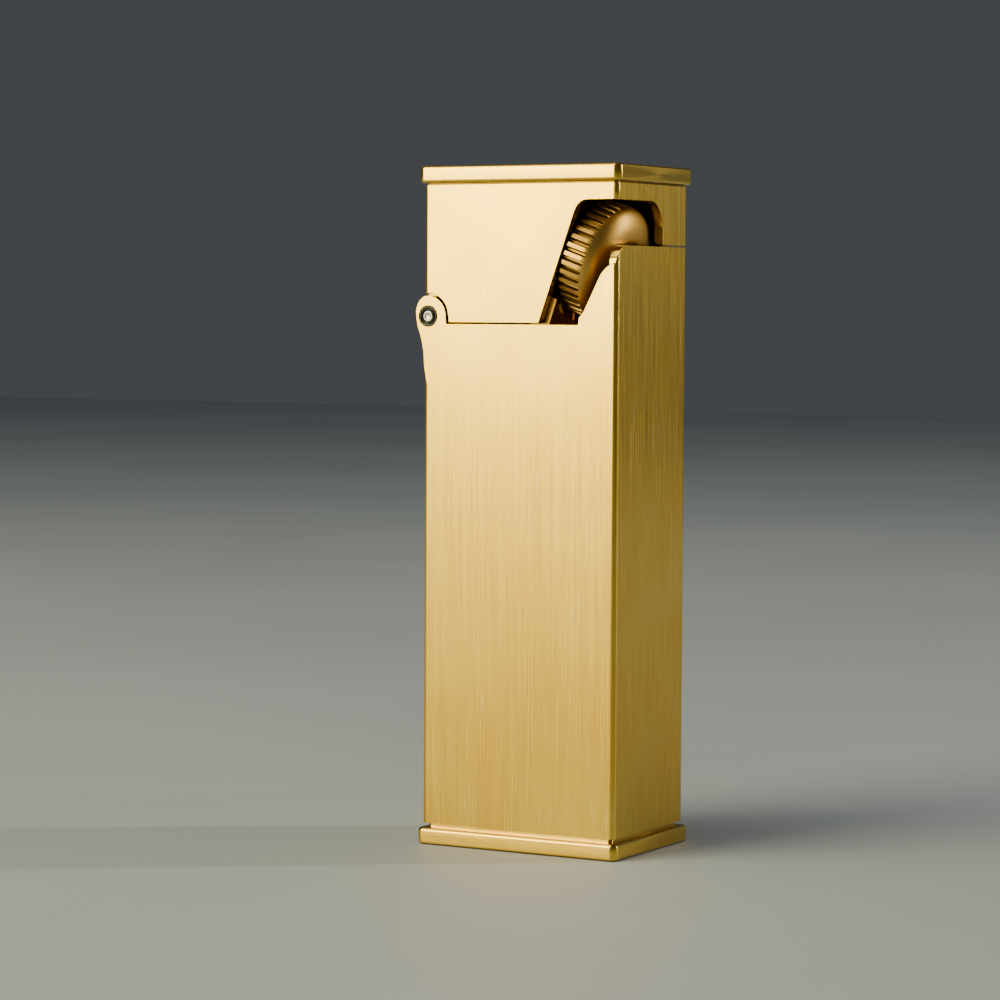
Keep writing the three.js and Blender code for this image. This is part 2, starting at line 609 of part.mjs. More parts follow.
// ---------- assembly ----------
const finishes = {
  gold: { color: 0xd9b66c, roughness: 0.32, metalness: 1 },
  brass: { color: 0xb98d45, roughness: 0.38, metalness: 1 },
  steel: { color: 0xb9bcc0, roughness: 0.35, metalness: 1 },
  black: { color: 0x15130f, roughness: 0.25, metalness: 0.2 },
  rubber: { color: 0x1c1c1c, roughness: 0.8, metalness: 0 },
  flint: { color: 0x4a4a4c, roughness: 0.7, metalness: 0.3 },
  felt: { color: 0xd9d4c4, roughness: 0.95, metalness: 0 },
};

const lighter = new THREE.Group();
lighter.add(rollerFrame);

function place(name, piece, finish, parent = lighter) {
  const geometry = piece instanceof THREE.BufferGeometry ? piece : geometryOf(piece);
  const mesh = new THREE.Mesh(geometry, new THREE.MeshStandardMaterial(finishes[finish]));
  mesh.name = name;
  parent.add(mesh);
}

place('case_shell', caseShell(), 'gold');
place('base_plate', basePlate(), 'gold');
place('tank_shell', tankShell(), 'brass');
place('tank_bottom', tankBottom(), 'brass');
place('filler_valve_body', fillerBody(), 'brass');
place('filler_valve_stem', fillerStem(), 'brass');
place('filler_valve_spring', coil(FILLER_X, FILLER_Y, 0.85, 0.12, 2.85, 8.65, 6), 'steel');
place('flame_adjuster', flameAdjuster(), 'brass');
place('gas_filter', rod(BURNER_X, BURNER_Y, 1.2, 8, 35.8, 20), 'felt');
place('burner_valve_body', burnerBody(), 'brass');
place('burner_nozzle', burnerNozzle(), 'brass');
place('nozzle_spring', coil(BURNER_X, BURNER_Y, 0.85, 0.12, 40.75, 46.0, 6), 'steel');
place('flint_tube', flintTube(), 'brass');
place('flint_screw', flintScrew(), 'brass');
place('flint_spring', coil(FLINT_X, FLINT_Y, 1.0, 0.13, 5.1, 43.9, 14), 'steel');
place('flint_pusher', flintPusher(), 'brass');
place('flint', flint(), 'flint');
place('wheel_carrier', wheelCarrier(), 'brass');
CARRIER_SCREWS.forEach(([x, y], i) => place(`carrier_screw_${i + 1}`, carrierScrew(x, y), 'steel'));
place('valve_lever', valveLever(), 'steel');
place('lever_pin', rodY(LEVER_X, LEVER_Z, LEVER_PIN_R, BURNER_Y - 2.5, BURNER_Y + 2.5, 16), 'steel');
place('lid_cam_spring', camSpring(), 'steel');
place('hinge_pin', hingePin(), 'steel');
place('hinge_bush_front', hingeBush(-1), 'black');
place('hinge_bush_back', hingeBush(1), 'black');
place('lid_shell', lidShell(), 'gold');
place('lid_top_plate', lidTopPlate(), 'gold');
place('snuffer_housing', snufferHousing(), 'brass');
place('snuffer_cap', snufferCap(), 'brass');
place('snuffer_seal', snufferSeal(), 'rubber');
place('snuffer_spring', coil(BURNER_X, BURNER_Y, 0.95, 0.14, 57.65, 60.75, 5), 'steel');
place('roller_wheel', rollerWheel(), 'gold', rollerFrame);
place('spark_wheel', sparkWheel(), 'steel', rollerFrame);
place('roller_axle', rollerAxle(), 'steel', rollerFrame);
place('axle_screw', axleScrew(), 'steel', rollerFrame);
place('axle_bush', axleBush(), 'brass', rollerFrame);

export default lighter;
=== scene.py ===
# %% [markdown]
# # A pocket roller lighter in brushed brass
# This lesson dresses a finished mechanical model for its portrait. The lighter is a slim brass box: a
# case, a hinged lid, and in one corner a tilted, ribbed roller that the thumb turns to strike the flint.
# The mechanical model comes in first as a fixed frame. Everything made here is placed from it, so nothing
# has to be fitted by eye afterwards.

# %% Load the frame
import json
import math

import bmesh
import bpy
from mathutils import Matrix, Vector

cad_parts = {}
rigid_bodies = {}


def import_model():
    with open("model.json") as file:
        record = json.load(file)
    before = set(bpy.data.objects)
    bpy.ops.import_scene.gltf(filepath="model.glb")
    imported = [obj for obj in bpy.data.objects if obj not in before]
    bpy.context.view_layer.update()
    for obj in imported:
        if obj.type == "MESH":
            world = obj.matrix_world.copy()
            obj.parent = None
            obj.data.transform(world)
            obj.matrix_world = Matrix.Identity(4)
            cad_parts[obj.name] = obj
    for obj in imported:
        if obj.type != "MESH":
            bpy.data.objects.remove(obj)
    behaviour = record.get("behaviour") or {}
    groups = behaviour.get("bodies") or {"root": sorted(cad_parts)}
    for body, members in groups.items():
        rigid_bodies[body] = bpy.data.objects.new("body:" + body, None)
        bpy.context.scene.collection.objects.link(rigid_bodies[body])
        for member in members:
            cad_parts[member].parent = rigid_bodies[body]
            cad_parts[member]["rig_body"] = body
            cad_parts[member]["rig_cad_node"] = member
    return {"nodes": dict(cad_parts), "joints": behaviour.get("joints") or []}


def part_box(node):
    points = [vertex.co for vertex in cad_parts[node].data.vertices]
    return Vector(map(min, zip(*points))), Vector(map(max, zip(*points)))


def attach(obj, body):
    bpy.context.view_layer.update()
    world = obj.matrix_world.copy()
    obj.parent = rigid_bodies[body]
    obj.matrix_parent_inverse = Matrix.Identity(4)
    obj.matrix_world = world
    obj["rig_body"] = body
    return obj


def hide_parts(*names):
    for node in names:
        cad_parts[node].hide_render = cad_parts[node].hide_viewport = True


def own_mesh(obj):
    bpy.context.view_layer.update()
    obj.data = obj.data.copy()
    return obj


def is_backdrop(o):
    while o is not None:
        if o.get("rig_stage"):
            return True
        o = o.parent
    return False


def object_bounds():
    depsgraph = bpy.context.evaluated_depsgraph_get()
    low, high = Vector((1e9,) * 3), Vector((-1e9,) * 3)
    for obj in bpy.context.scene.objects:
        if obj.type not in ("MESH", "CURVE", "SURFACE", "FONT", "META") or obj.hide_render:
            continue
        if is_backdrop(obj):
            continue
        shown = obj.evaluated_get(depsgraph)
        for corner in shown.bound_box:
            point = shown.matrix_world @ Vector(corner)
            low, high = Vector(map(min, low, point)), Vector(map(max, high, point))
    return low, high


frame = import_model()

MM = 0.001
nodes = frame["nodes"]
for extra in [o for o in bpy.data.objects if o.type in {"MESH", "LIGHT", "CAMERA"} and o.name not in nodes]:
    bpy.data.objects.remove(extra)
cad_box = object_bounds()
print("nodes:", len(nodes), " box in mm:", [[round(v / MM, 2) for v in corner] for corner in cad_box])

# %% [markdown]
# ## Camera
# A product portrait of something this small is taken from about an arm's length with a long lens, which
# keeps the upright edges nearly parallel. The camera stands at the height of the hinge, a little to the
# right, so that the wide front and the narrow side both show. It could be aimed with a tracking
# constraint, but three plain angles say exactly how it is held: how far round, how far down, and how far
# it leans.

# %% Place the camera
CAMERA_DISTANCE = 321.3 * MM
CAMERA_HEIGHT = 50.9 * MM
CAMERA_AROUND = math.radians(28.67)
CAMERA_TURN = math.radians(0.92)
CAMERA_DOWN = math.radians(3.26)
CAMERA_LEAN = math.radians(0.30)
LENS_MM = 122.4


def aimed(position, forward, lean=0.0):
    """A camera or light matrix that looks along forward, leaning by lean."""
    forward = Vector(forward).normalized()
    right = forward.cross(Vector((0, 0, 1))).normalized()
    up = right.cross(forward)
    right, up = (math.cos(lean) * right + math.sin(lean) * up, math.cos(lean) * up - math.sin(lean) * right)
    matrix = Matrix((right, up, -forward)).transposed().to_4x4()
    matrix.translation = position
    return matrix


camera_at = Vector((
    CAMERA_DISTANCE * math.sin(CAMERA_AROUND), -CAMERA_DISTANCE * math.cos(CAMERA_AROUND), CAMERA_HEIGHT))
heading = CAMERA_AROUND + CAMERA_TURN
ahead = math.cos(CAMERA_DOWN)
looking = (-math.sin(heading) * ahead, math.cos(heading) * ahead, -math.sin(CAMERA_DOWN))
camera = bpy.data.objects.new("camera", bpy.data.cameras.new("camera"))
camera.data.lens = LENS_MM
camera.data.sensor_width = 36
camera.data.clip_start = 0.01
bpy.context.scene.collection.objects.link(camera)
camera.matrix_world = aimed(camera_at, looking, CAMERA_LEAN)
bpy.context.scene.camera = camera
print("camera at", [round(v / MM) for v in camera_at], "mm, lens", LENS_MM)

# %% [markdown]
# ## Floor and light
# Polished metal has hardly any colour of its own: it shows what stands around it. So the lights are
# placed by what each face reflects. Seen from this camera, the wide front mirrors the space to the left
# of the camera, and the narrow side mirrors the space behind and to the right. One large warm soft box at
# the left makes the front glow, and a second above it reaches into the roller's window. The right only
# gets a dim card, and that contrast is what makes the two faces read as a box. A narrow strip draws the
# bright line down the round corner between.

# %% Make the floor and the lights
def plain_mesh(name, vertices, faces):
    mesh = bpy.data.meshes.new(name)
    mesh.from_pydata(vertices, [], faces)
    piece = bpy.data.objects.new(name, mesh)
    bpy.context.scene.collection.objects.link(piece)
    return piece


FLOOR_HALF = 1.2
floor = plain_mesh(
    "floor", [(-FLOOR_HALF, -FLOOR_HALF, 0), (FLOOR_HALF, -FLOOR_HALF, 0), (FLOOR_HALF, FLOOR_HALF, 0),
              (-FLOOR_HALF, FLOOR_HALF, 0)], [(0, 1, 2, 3)])
floor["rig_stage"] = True


def soft_box(name, position, target, width, height, power, colour):
    """A rectangular area light at position that faces target. Sizes in metres, power in watts."""
    light = bpy.data.objects.new(name, bpy.data.lights.new(name, "AREA"))
    light.data.shape = "RECTANGLE"
    light.data.size = width
    light.data.size_y = height
    light.data.energy = power
    light.data.color = colour
    bpy.context.scene.collection.objects.link(light)
    light.matrix_world = aimed(Vector(position), Vector(target) - Vector(position))
    print(name, "at", [round(v, 2) for v in position], "m,", power, "W")
    return light


soft_box("key soft box", position=(-0.34, -0.56, 0.20), target=(0, 0, 0.05), width=0.46, height=0.34,
         power=5.7, colour=(1.0, 0.92, 0.44))
soft_box("top soft box", position=(-0.22, -0.30, 0.66), target=(0, 0, 0.05), width=0.5, height=0.5,
         power=2.0, colour=(1.0, 0.96, 0.82))
soft_box("corner strip", position=(0.60, 0.42, 0.26), target=(0, 0, 0.04), width=0.04, height=0.42,
         power=2.6, colour=(1.0, 0.94, 0.72))
soft_box("back fill card", position=(0.56, 1.00, 0.34), target=(0, 0, 0.05), width=0.8, height=0.6,
         power=0.2, colour=(0.66, 0.88, 1.0))

AIR_STRENGTH = 0.07
world = bpy.data.worlds.new("studio air")
world.use_nodes = True
background = world.node_tree.nodes["Background"]
background.inputs["Color"].default_value = (0.88, 0.94, 1.0, 1)
background.inputs["Strength"].default_value = AIR_STRENGTH
bpy.context.scene.world = world
print("air strength:", AIR_STRENGTH)

# %% [markdown]
# ## Three small helpers for every material
# Colours are written the way a paint chart gives them, as sRGB hex values. Blender's shaders work in
# linear light, so one function converts them. A second function adds a node, sets its options and
# connects its inputs in one go, which keeps each material short enough to read at a glance. Every node of
# every material goes through it. A third makes the empty material that the nodes go into.

# %% Colour and node helpers
def srgb(code):
    """'#rrggbb' as a linear RGBA colour."""
    channels = [int(code[i:i + 2], 16) / 255 for i in (1, 3, 5)]
    return tuple(c / 12.92 if c <= 0.04045 else ((c + 0.055) / 1.055) ** 2.4 for c in channels) + (1.0,)


def add(tree, kind, inputs=None, stops=(), **settings):
    """Adds a node. An input takes a number, a colour, an output, or a node to use its first output."""
    made = tree.nodes.new(kind)
    for name, value in settings.items():
        setattr(made, name, value)
    for name, value in (inputs or {}).items():
        if isinstance(value, bpy.types.Node):
            value = next(output for output in value.outputs if output.enabled)
        if isinstance(value, bpy.types.NodeSocket):
            tree.links.new(value, made.inputs[name])
        else:
            made.inputs[name].default_value = value
    for i, (position, colour) in enumerate(stops):
        element = made.color_ramp.elements[i] if i < 2 else made.color_ramp.elements.new(position)
        element.position = position
        element.color = colour
    return made


def new_material(name):
    """A material with an empty node tree."""
    made = bpy.data.materials.new(name)
    made.use_nodes = True
    made.node_tree.nodes.clear()
    return made, made.node_tree


print("pale gold in linear light:", [round(c, 3) for c in srgb("#E2C078")])

# %% [markdown]
# ## Pale floor
# The floor is a matte painted table. It is kept plain, because its job is to bounce a little light into
# the lower part of the brass. Its paint is a cool grey, which the warm lights turn neutral, and a faint
# large mottling stops it from looking like empty paper.

# %% Matte painted table
MOTTLES_PER_METRE = 9.0
table, tree = new_material("painted table, matte")
where = add(tree, "ShaderNodeTexCoord").outputs["Object"]
mottle = add(tree, "ShaderNodeTexNoise", {"Vector": where, "Scale": MOTTLES_PER_METRE, "Detail": 3.0})
tint = add(tree, "ShaderNodeValToRGB", {"Fac": mottle}, [(0.3, srgb("#B4BDCC")), (0.7, srgb("#BEC7D6"))])
shader = add(tree, "ShaderNodeBsdfPrincipled", {"Base Color": tint, "Roughness": 0.62})
add(tree, "ShaderNodeOutputMaterial", {"Surface": shader})
floor.data.materials.append(table)
print("table mottle:", round(1 / MOTTLES_PER_METRE / MM), "mm across")

# %% [markdown]
# ## Brushed brass
# The case, the lid and the two end plates are brass, ground with a fine belt along their length and then
# clear lacquered. The belt leaves thousands of hair-thin parallel grooves. Each one mirrors light sharply
# along the groove but scatters it across, so a highlight is drawn out sideways: that is what anisotropy
# in the shader does. A picture of brushed metal could be wrapped on instead, but a stretched noise
# follows any shape without seams. The grooves of a 400 grit belt are about 0.04 mm apart, too fine to
# show, so they are drawn 0.13 mm apart. A lighter pass the other way leaves a fainter grain across the
# first.

# %% Brushed brass, lacquered
GROOVE = 0.13 * MM
GROOVE_LENGTH = 11 * MM
GROOVE_DEPTH = 0.008 * MM
CROSS_GROOVE = 0.2 * MM
CROSS_LENGTH = 2.5 * MM
CLOUD = 9 * MM
SCRATCH = 0.16 * MM
SCRATCH_LENGTH = 4 * MM
SCRATCH_PATCH = 7 * MM
PIT_SPACING = 6.5 * MM
SEAM_REACH = 0.4 * MM
ALONG_Z = (1 / GROOVE, 1 / GROOVE, 1 / GROOVE_LENGTH)
ALONG_X = (1 / GROOVE_LENGTH, 1 / GROOVE, 1 / GROOVE)
ACROSS_Z = (1 / CROSS_LENGTH, 1 / CROSS_LENGTH, 1 / CROSS_GROOVE)


def streaks(tree, where, scale, turn=(0, 0, 0), shift=0.0, detail=2.0):
    """Noise that is stretched into streaks. scale is one over the streak's size along each axis."""
    mapped = add(tree, "ShaderNodeMapping", {
        "Vector": where, "Location": (shift, shift, shift), "Rotation": [math.radians(t) for t in turn],
        "Scale": scale})
    return add(tree, "ShaderNodeTexNoise", {
        "Vector": mapped, "Scale": 1.0, "Detail": detail, "Roughness": 0.6})


def brushed_brass(name, scale, along, light_tone, dark_tone, roughness):
    """Brass with a belt-ground grain along one axis of the piece."""
    made, tree = new_material(name)
    where = add(tree, "ShaderNodeTexCoord").outputs["Object"]
    grain = streaks(tree, where, scale, detail=4.0)
    cross_grain = streaks(tree, where, ACROSS_Z, shift=5.0)
    clouds = add(tree, "ShaderNodeTexNoise", {"Vector": where, "Scale": 1 / CLOUD, "Detail": 2.0})

    # The grain moves the colour a little between two tones of one brass. Slow clouds warm it here and there.
    tone = add(tree, "ShaderNodeValToRGB", {"Fac": grain}, [(0.30, dark_tone), (0.70, light_tone)])
    warmth = add(tree, "ShaderNodeValToRGB", {"Fac": clouds}, [
        (0.35, srgb("#FBF1DC")), (0.65, srgb("#FFFFFF"))])
    toned = add(tree, "ShaderNodeMix", {"Factor": 1.0, "A": tone, "B": warmth},
                data_type="RGBA", blend_type="MULTIPLY")

    # Handling leaves a few short scratches, in patches, where a ring or a key has rubbed.
    patches = add(tree, "ShaderNodeTexNoise", {"Vector": where, "Scale": 1 / SCRATCH_PATCH, "Detail": 1.0})
    handled = add(tree, "ShaderNodeMapRange", {"Value": patches, "From Min": 0.56, "From Max": 0.64})
    hair = (1 / SCRATCH, 1 / SCRATCH, 1 / SCRATCH_LENGTH)
    level = add(tree, "ShaderNodeMapRange", {
        "Value": streaks(tree, where, hair, (84, 84, 0), 3.1, 0.0), "From Min": 0.775, "From Max": 0.81})
    slanting = add(tree, "ShaderNodeMapRange", {
        "Value": streaks(tree, where, hair, (-24, -24, 0), 7.7, 0.0), "From Min": 0.79, "From Max": 0.82})
    either = add(tree, "ShaderNodeMath", {0: level, 1: slanting}, operation="MAXIMUM")
    scratches = add(tree, "ShaderNodeMath", {0: either, 1: handled}, operation="MULTIPLY")

    # A few pin-prick pits, about a tenth of a millimetre across.
    cells = add(tree, "ShaderNodeTexVoronoi", {"Vector": where, "Scale": 1 / PIT_SPACING, "Randomness": 1.0})
    pits = add(tree, "ShaderNodeMapRange", {
        "Value": cells, "From Min": 0.012, "From Max": 0.022, "To Min": 1.0, "To Max": 0.0})
    pitted = add(tree, "ShaderNodeMix", {"Factor": pits, "A": toned, "B": srgb("#8A6C2C")}, data_type="RGBA")
    # The scratches are real wear, but their pale colour is a painted glint.
    painted_glint = add(tree, "ShaderNodeMath", {0: scratches, 1: 0.6}, operation="MULTIPLY")
    scratched = add(tree, "ShaderNodeMix", {"Factor": painted_glint, "A": pitted, "B": srgb("#F8E7B8")},
                    data_type="RGBA")

    # Painted shade: ambient occlusion darkens the colour in the open seams, where shade falls.
    seams = add(tree, "ShaderNodeAmbientOcclusion", {"Distance": SEAM_REACH}, samples=6).outputs["AO"]
    seam_shade = add(tree, "ShaderNodeMapRange", {
        "Value": seams, "From Min": 0.15, "From Max": 0.62, "To Min": 0.85, "To Max": 0.0})
    colour = add(tree, "ShaderNodeMix", {"Factor": seam_shade, "A": scratched, "B": srgb("#2A1C0C")},
                 data_type="RGBA")

    # Roughness follows the grain, with smoother clouds where fingers have polished the lacquer.
    ground = add(tree, "ShaderNodeMapRange", {
        "Value": grain, "From Min": 0.3, "From Max": 0.7, "To Min": roughness, "To Max": roughness + 0.08})
    worn = add(tree, "ShaderNodeMath", {0: clouds, 1: -0.06, 2: ground}, operation="MULTIPLY_ADD")

    # The grooves themselves are a few micrometres deep, and the scratches a little deeper.
    grooves = add(tree, "ShaderNodeMath", {0: cross_grain, 1: 0.35, 2: grain}, operation="MULTIPLY_ADD")
    depth = add(tree, "ShaderNodeMath", {0: scratches, 1: -0.8, 2: grooves}, operation="MULTIPLY_ADD")
    bump = add(tree, "ShaderNodeBump", {"Height": depth, "Strength": 0.22, "Distance": GROOVE_DEPTH})
    across = add(tree, "ShaderNodeTangent", direction_type="RADIAL", axis=along)
    shader = add(tree, "ShaderNodeBsdfPrincipled", {
        "Base Color": colour, "Roughness": worn, "Normal": bump, "Metallic": 1.0, "Anisotropic": 0.5,
        "Tangent": across})
    add(tree, "ShaderNodeOutputMaterial", {"Surface": shader})
    return made


# The shells are brushed upright, so their highlights spread out sideways.
shell_brass = brushed_brass(
    "brass, belt brushed upright", ALONG_Z, "Z", srgb("#E9C354"), srgb("#D9B147"), roughness=0.24)
# The end plates are brushed from side to side, so their highlights spread from front to back.
plate_brass = brushed_brass(
    "brass, brushed across", ALONG_X, "X", srgb("#E9C354"), srgb("#DBB54B"), roughness=0.22)
print("brushed brass: groove every", GROOVE / MM, "mm")

# %% [markdown]
# ## Turned and blasted metals
# Inside, the parts are cheaper: turned on a lathe or blasted dull, and never lacquered. A lathe leaves
# rings round the axis, and blasting leaves an even fine grit. One function serves them all, because the
# only things that change are the two tones, the grit's size and how dull the surface is. Painted shade is
# darkened into the corners with ambient occlusion, which finds where a surface is closely hemmed in.

# %% Plain metals
SHADE_REACH = 0.9 * MM
UNEVEN = 0.06


def plain_metal(name, light_tone, dark_tone, grit, roughness, bump_depth, corner_shade=0.6, stretch=(1, 1, 1)):
    """A metal with an even fine texture and painted shade in its corners. grit is its size in metres."""
    made, tree = new_material(name)
    where = add(tree, "ShaderNodeTexCoord").outputs["Object"]
    scaled = add(tree, "ShaderNodeMapping", {"Vector": where, "Scale": stretch})
    texture = add(tree, "ShaderNodeTexNoise", {
        "Vector": scaled, "Scale": 1 / grit, "Detail": 5.0, "Roughness": 0.6})
    tone = add(tree, "ShaderNodeValToRGB", {"Fac": texture}, [(0.3, dark_tone), (0.7, light_tone)])
    # Painted shade: ambient occlusion darkens the colour in corners and hollows, where shade falls.
    corners = add(tree, "ShaderNodeAmbientOcclusion", {"Distance": SHADE_REACH}, samples=8).outputs["AO"]
    shade = add(tree, "ShaderNodeMapRange", {
        "Value": corners, "From Min": 0.15, "From Max": 0.8, "To Min": 1 - corner_shade, "To Max": 1.0})
    corner_shaded = add(tree, "ShaderNodeMix", {"Factor": 1.0, "A": tone, "B": shade},
                 data_type="RGBA", blend_type="MULTIPLY")
    rough = add(tree, "ShaderNodeMapRange", {
        "Value": texture, "From Min": 0.3, "From Max": 0.7, "To Min": roughness - UNEVEN,
        "To Max": roughness + UNEVEN})
    bump = add(tree, "ShaderNodeBump", {"Height": texture, "Strength": 0.4, "Distance": bump_depth})
    shader = add(tree, "ShaderNodeBsdfPrincipled", {
        "Base Color": corner_shaded, "Roughness": rough, "Normal": bump, "Metallic": 1.0})
    add(tree, "ShaderNodeOutputMaterial", {"Surface": shader})
    return made


# Blasting leaves an even, sugary matt without streaks.
carrier_brass = plain_metal(
    "brass, bead blasted", srgb("#CFA055"), srgb("#B5853C"),
    grit=0.12 * MM, roughness=0.36, bump_depth=0.012 * MM, corner_shade=0.7)
# A lathe leaves very fine rings, which give a silky shine.
turned_brass = plain_metal(
    "brass, lathe turned", srgb("#DDB267"), srgb("#C2924A"),
    grit=0.2 * MM, roughness=0.27, bump_depth=0.006 * MM, corner_shade=0.5, stretch=(1, 1, 6))
# Drawing and soldering leave the tank dull and a little cloudy.
tank_brass = plain_metal(
    "brass, drawn and soldered", srgb("#C79C57"), srgb("#A97C3A"),
    grit=0.8 * MM, roughness=0.42, bump_depth=0.01 * MM)
# The roller has a satin face that is almost smooth, and painted shade darkens its slots.
roller_brass = plain_metal(
    "brass, slotted and satin turned", srgb("#CDA355"), srgb("#B98D42"),
    grit=0.14 * MM, roughness=0.40, bump_depth=0.0015 * MM, corner_shade=0.93)
# Hardening leaves the spark wheel a dull middle grey.
tool_steel = plain_metal(
    "tool steel, hardened", srgb("#8F9093"), srgb("#6E6F72"),
    grit=0.1 * MM, roughness=0.38, bump_depth=0.01 * MM)
# Turned stainless steel is the brightest metal here, with small sharp highlights.
bright_steel = plain_metal(
    "stainless steel, turned", srgb("#D5D3CF"), srgb("#B4B2AE"),
    grit=0.12 * MM, roughness=0.24, bump_depth=0.005 * MM)
# Drawn wire is smooth and grey, and shines along its whole length.
spring_steel = plain_metal(
    "spring steel, drawn", srgb("#A6A6A4"), srgb("#858583"),
    grit=0.3 * MM, roughness=0.3, bump_depth=0.004 * MM)
metals = [shell_brass, plate_brass, carrier_brass, turned_brass, tank_brass, roller_brass, tool_steel,
          bright_steel, spring_steel]
print("metals:", [metal.name for metal in metals])

# %% [markdown]
# ## Black bush, rubber, flint and felt
# None of these shines like bare metal, so the shader gets no metallic value and the colour comes from
# below the surface. The hinge bushes are steel, but all that shows of it is a thin glossy coat over
# black. Flint metal is a crumbly dark alloy, the seal is moulded nitrile rubber, and the gas filter is a
# plug of wool felt.

# %% Dark and soft materials
def plain_solid(name, light_tone, dark_tone, grain_size, roughness, bump_depth, coat=0.0):
    """A body colour that varies with a fine grain, under a clear coat if coat is above 0."""
    made, tree = new_material(name)
    where = add(tree, "ShaderNodeTexCoord").outputs["Object"]
    texture = add(tree, "ShaderNodeTexNoise", {"Vector": where, "Scale": 1 / grain_size, "Detail": 6.0})
    tone = add(tree, "ShaderNodeValToRGB", {"Fac": texture}, [(0.35, dark_tone), (0.65, light_tone)])
    bump = add(tree, "ShaderNodeBump", {"Height": texture, "Strength": 0.5, "Distance": bump_depth})
    shader = add(tree, "ShaderNodeBsdfPrincipled", {
        "Base Color": tone, "Normal": bump, "Roughness": roughness, "Coat Weight": coat,
        "Coat Roughness": 0.12})
    add(tree, "ShaderNodeOutputMaterial", {"Surface": shader})
    return made


# Blacking and wax give a deep black with a soft gloss.
blacked_steel = plain_solid(
    "steel, blacked and waxed", srgb("#1E1713"), srgb("#0D0A08"),
    grain_size=0.3 * MM, roughness=0.34, bump_depth=0.004 * MM, coat=0.35)
# Moulded nitrile is a dull black that takes hardly any highlight.
nitrile = plain_solid(
    "nitrile rubber, moulded", srgb("#1D1D1E"), srgb("#151516"),
    grain_size=0.1 * MM, roughness=0.7, bump_depth=0.01 * MM)
# Cast flint alloy is dark and coarse, without any shine.
flint_alloy = plain_solid(
    "flint alloy, cast", srgb("#55534F"), srgb("#3A3835"),
    grain_size=0.15 * MM, roughness=0.65, bump_depth=0.05 * MM)
# Pressed wool felt is pale and scatters light every way.
wool_felt = plain_solid(
    "wool felt, pressed", srgb("#DAD3C0"), srgb("#BDB59F"),
    grain_size=0.2 * MM, roughness=0.9, bump_depth=0.08 * MM)
print("dark and soft materials:", [solid.name for solid in (blacked_steel, nitrile, flint_alloy, wool_felt)])

# %% [markdown]
# ## Easing the edges
# A machined part never has perfect edges: deburring and polishing round them by a few hundredths of a
# millimetre, and that thin round line is what catches the light. The model's own edges are sharp, so each
# piece is copied, its flat areas are cleaned of construction lines, and its sharp edges are bevelled in
# mesh code. A bevel modifier would do the same, but here the finished mesh is wanted as real geometry.

# %% The edge-easing function
SHARP_ANGLE = 25.0
SMOOTH_ANGLE = 30.0


def eased_copy(node, edge, sharp=SHARP_ANGLE, smooth=SMOOTH_ANGLE):
    """A finished copy of a model node. Edges sharper than sharp degrees are rounded by edge metres."""
    mesh = bpy.data.meshes.new("eased_" + node)
    piece = bpy.data.objects.new("eased_" + node, mesh)
    bpy.context.scene.collection.objects.link(piece)
    work = bmesh.new()
    work.from_mesh(nodes[node].data)
    bmesh.ops.remove_doubles(work, verts=work.verts, dist=0.0005 * MM)
    bmesh.ops.dissolve_limit(work, angle_limit=math.radians(0.4), verts=work.verts, edges=work.edges)
    edges = [e for e in work.edges if len(e.link_faces) == 2 and e.calc_face_angle(0) > math.radians(sharp)]
    bmesh.ops.bevel(work, geom=edges, offset=edge, offset_type="WIDTH", segments=2, profile=0.5,
                    affect="EDGES", clamp_overlap=False, loop_slide=True)
    for face in work.faces:
        face.smooth = True
    work.to_mesh(mesh)
    work.free()
    mesh.set_sharp_from_angle(angle=math.radians(smooth))
    even = piece.modifiers.new("even shading", "WEIGHTED_NORMAL")
    even.keep_sharp = True
    even.weight = 80
    return piece


def finish_piece(piece, node, material):
    """Gives a piece its material, hides the node it stands for, and lets it move with the node's body."""
    piece.data.materials.append(material)
    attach(piece, nodes[node]["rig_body"])
    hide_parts(node)
    return piece


print("edges sharper than", SHARP_ANGLE, "degrees are eased")

# %% [markdown]
# ## Case, lid and end plates
# These four pieces are what the hand and the eye meet first. The shells keep crisp edges, because they
# are cut from sheet; the plates are struck and polished, so their edges are rounder already.

# %% Finish the outer shells
for shell in ("case_shell", "lid_shell"):
    finish_piece(eased_copy(shell, 0.06 * MM), shell, shell_brass)
for end_plate in ("base_plate", "lid_top_plate"):
    finish_piece(eased_copy(end_plate, 0.05 * MM), end_plate, plate_brass)

# %% [markdown]
# ## The roller and the spark wheel
# The thumb turns the roller, and the roller turns the small spark wheel on the same axle. The roller's
# rim is cut with straight slots for grip, and its open side is a smooth bulge that a thumb can slide
# over. Both wheels are a ring of rims and ribs, so one function makes them. It walks a profile round the
# axle and lifts the points that lie on a rib. A modelled gear could be cut with booleans, but a grid of
# points keeps every edge rounded.

# %% Ribbed wheels
spin = next(j for j in frame["joints"] if j["name"] == "roller_spin")
axle_point = Vector(spin["pos_m"])
axle_way = Vector(spin["axis"]).normalized()
axle_side = axle_way.cross(Vector((0, 1, 0))).normalized()
axle_rise = axle_side.cross(axle_way)
RIB_SHARP_ANGLE = 38.0


def along_axle(node):
    """How far a node reaches along the axle, and its largest radius about it, in metres."""
    from_axle = [v.co - axle_point for v in nodes[node].data.vertices]
    along = [p.dot(axle_way) for p in from_axle]
    return min(along), max(along), max((p - p.dot(axle_way) * axle_way).length for p in from_axle)


def on_axle(along, radius, angle):
    """The point that far along the axle, and that far out from it at an angle."""
    spoke = math.cos(angle) * axle_side + math.sin(angle) * axle_rise
    return axle_point + along * axle_way + radius * spoke


